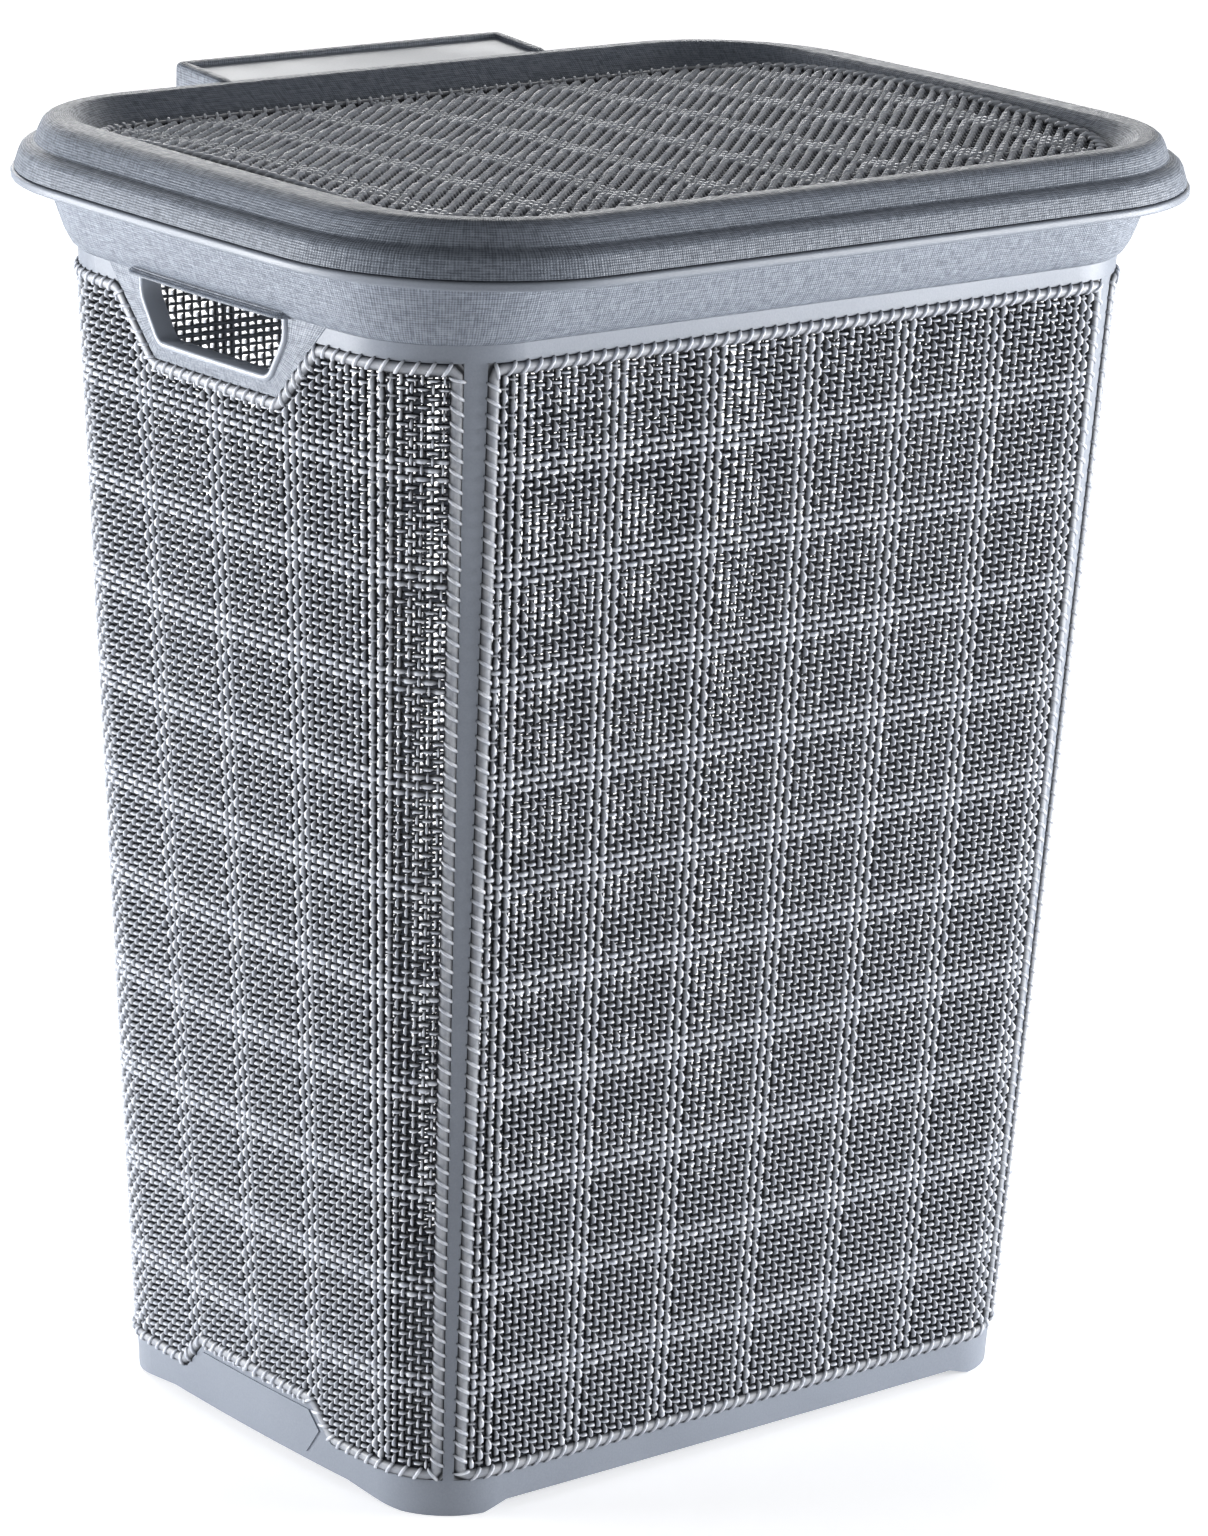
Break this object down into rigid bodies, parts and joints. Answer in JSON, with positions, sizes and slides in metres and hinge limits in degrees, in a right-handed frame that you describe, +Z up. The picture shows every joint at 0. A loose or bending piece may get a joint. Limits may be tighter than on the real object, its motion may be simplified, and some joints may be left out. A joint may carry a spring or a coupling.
{
  "type": "laundry hamper",
  "caption": "Tall tapered laundry hamper with woven-look side panels, cut-out end handles, a flared collar and a rear-hinged lid with a raised rim and an arched woven panel.",
  "frame": {"origin": "centre of the bottom face of the whole hamper's bounding box, on the floor under the feet", "axes": "+Z up, -Y towards the long front side, +Y towards the hinge at the rear, +X towards the right-hand handle"},
  "size_m": [0.4798, 0.3817, 0.5869],
  "materials": {
    "woven_plastic": "moulded weave relief, satin",
    "cord_plastic": "moulded cord border, satin",
    "grained_plastic": "fine linen grain, matte",
    "smooth_plastic": "smooth satin",
    "plate_plastic": "smooth, semi-gloss"
  },
  "bodies": {
    "basket": {"plinth": "smooth_plastic", "floor_plate": "smooth_plastic", "foot_front_left": "smooth_plastic", "foot_front_right": "smooth_plastic", "foot_rear_left": "smooth_plastic", "foot_rear_right": "smooth_plastic", "base_plaque_left": "smooth_plastic", "base_plaque_right": "smooth_plastic", "corner_strip_front_left": "smooth_plastic", "corner_strip_front_right": "smooth_plastic", "corner_strip_rear_left": "smooth_plastic", "corner_strip_rear_right": "smooth_plastic", "woven_panel_front": "woven_plastic", "woven_panel_rear": "woven_plastic", "woven_panel_left": "woven_plastic", "woven_panel_right": "woven_plastic", "panel_cord_front": "cord_plastic", "panel_cord_rear": "cord_plastic", "panel_cord_left": "cord_plastic", "panel_cord_right": "cord_plastic", "handle_surround_left": "grained_plastic", "handle_surround_right": "grained_plastic", "neck_band": "smooth_plastic", "handle_grip_left": "smooth_plastic", "handle_grip_right": "smooth_plastic", "collar": "grained_plastic", "flange": "grained_plastic", "hinge_bracket_left": "smooth_plastic", "hinge_bracket_right": "smooth_plastic", "hinge_pin_left": "smooth_plastic", "hinge_pin_right": "smooth_plastic"},
    "lid": {"lid_frame": "grained_plastic", "lid_woven_panel": "woven_plastic", "lid_cord": "cord_plastic", "hinge_cover": "grained_plastic", "hinge_plate": "plate_plastic", "hinge_lugs_left": "smooth_plastic", "hinge_lugs_right": "smooth_plastic"}
  },
  "joints": [
    {"name": "lid_hinge", "type": "hinge", "parent": "basket", "child": "lid", "pos_m": [0, 0.18185, 0.568], "axis": [-1, 0, 0], "range_deg": [0, 105]}
  ]
}
